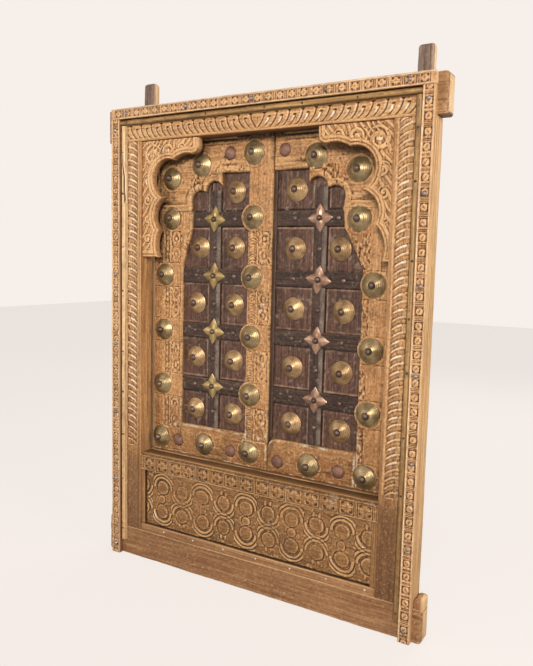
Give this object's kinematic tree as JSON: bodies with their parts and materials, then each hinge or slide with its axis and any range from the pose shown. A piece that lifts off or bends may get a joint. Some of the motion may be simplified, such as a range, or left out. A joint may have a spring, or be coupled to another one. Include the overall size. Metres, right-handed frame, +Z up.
{
  "type": "carved wooden window",
  "caption": "Carved wooden window with foiled spandrels, a ribbon-carved apron panel and two inward-turning leaves set with domed brass bosses and stars.",
  "frame": {"origin": "middle of the base, between the nail heads in front and the backs of the rear posts", "axes": "+X to the right as seen from the front, +Y from front to back, +Z up"},
  "size_m": [0.672, 0.0866, 0.957],
  "materials": {
    "carved_wood": "hand carved, waxed, worn",
    "dark_wood": "dark stained, worn",
    "weathered_wood": "weathered, unfinished",
    "brass": "aged, hand beaten",
    "iron": "hand forged, rubbed"
  },
  "bodies": {
    "frame": {"left_jamb": "carved_wood", "right_jamb": "carved_wood", "head_beam": "carved_wood", "sill_beam": "carved_wood", "middle_rail": "carved_wood", "carved_panel": "carved_wood", "left_panel_bead": "carved_wood", "right_panel_bead": "carved_wood", "bottom_panel_bead": "carved_wood", "left_face_strip": "carved_wood", "right_face_strip": "carved_wood", "top_face_strip": "carved_wood", "left_moulding": "carved_wood", "right_moulding": "carved_wood", "top_moulding": "carved_wood", "left_spandrel": "carved_wood", "right_spandrel": "carved_wood", "left_post": "weathered_wood", "right_post": "weathered_wood", "rear_lintel": "carved_wood", "rear_rail": "carved_wood", "face_strip_nails": "iron"},
    "left_leaf": {"left_board": "dark_wood", "left_hanging_stile": "carved_wood", "left_meeting_stile": "carved_wood", "left_top_rail": "carved_wood", "left_bottom_rail": "carved_wood", "left_centre_batten": "dark_wood", "left_cross_batten_1": "dark_wood", "left_cross_batten_2": "dark_wood", "left_cross_batten_3": "dark_wood", "left_cross_batten_4": "dark_wood", "left_frame_bosses": "brass", "left_frame_nails": "iron", "left_panel_bosses": "brass", "left_panel_nails": "iron", "left_stars": "brass", "left_star_nails": "iron", "left_batten_studs": "iron", "left_rail_studs": "iron"},
    "right_leaf": {"right_board": "dark_wood", "right_hanging_stile": "carved_wood", "right_meeting_bead": "dark_wood", "right_top_rail": "carved_wood", "right_bottom_rail": "carved_wood", "right_centre_batten": "dark_wood", "right_cross_batten_1": "dark_wood", "right_cross_batten_2": "dark_wood", "right_cross_batten_3": "dark_wood", "right_cross_batten_4": "dark_wood", "right_frame_bosses": "brass", "right_frame_nails": "iron", "right_panel_bosses": "brass", "right_panel_nails": "iron", "right_stars": "brass", "right_star_nails": "iron", "right_batten_studs": "iron", "right_rail_studs": "iron"}
  },
  "joints": [
    {"name": "left_leaf_hinge", "type": "hinge", "parent": "frame", "child": "left_leaf", "pos_m": [-0.25, 0.0268, 0.53], "axis": [0, 0, 1], "range_deg": [0, 100]},
    {"name": "right_leaf_hinge", "type": "hinge", "parent": "frame", "child": "right_leaf", "pos_m": [0.25, 0.0268, 0.53], "axis": [0, 0, -1], "range_deg": [0, 100]}
  ]
}
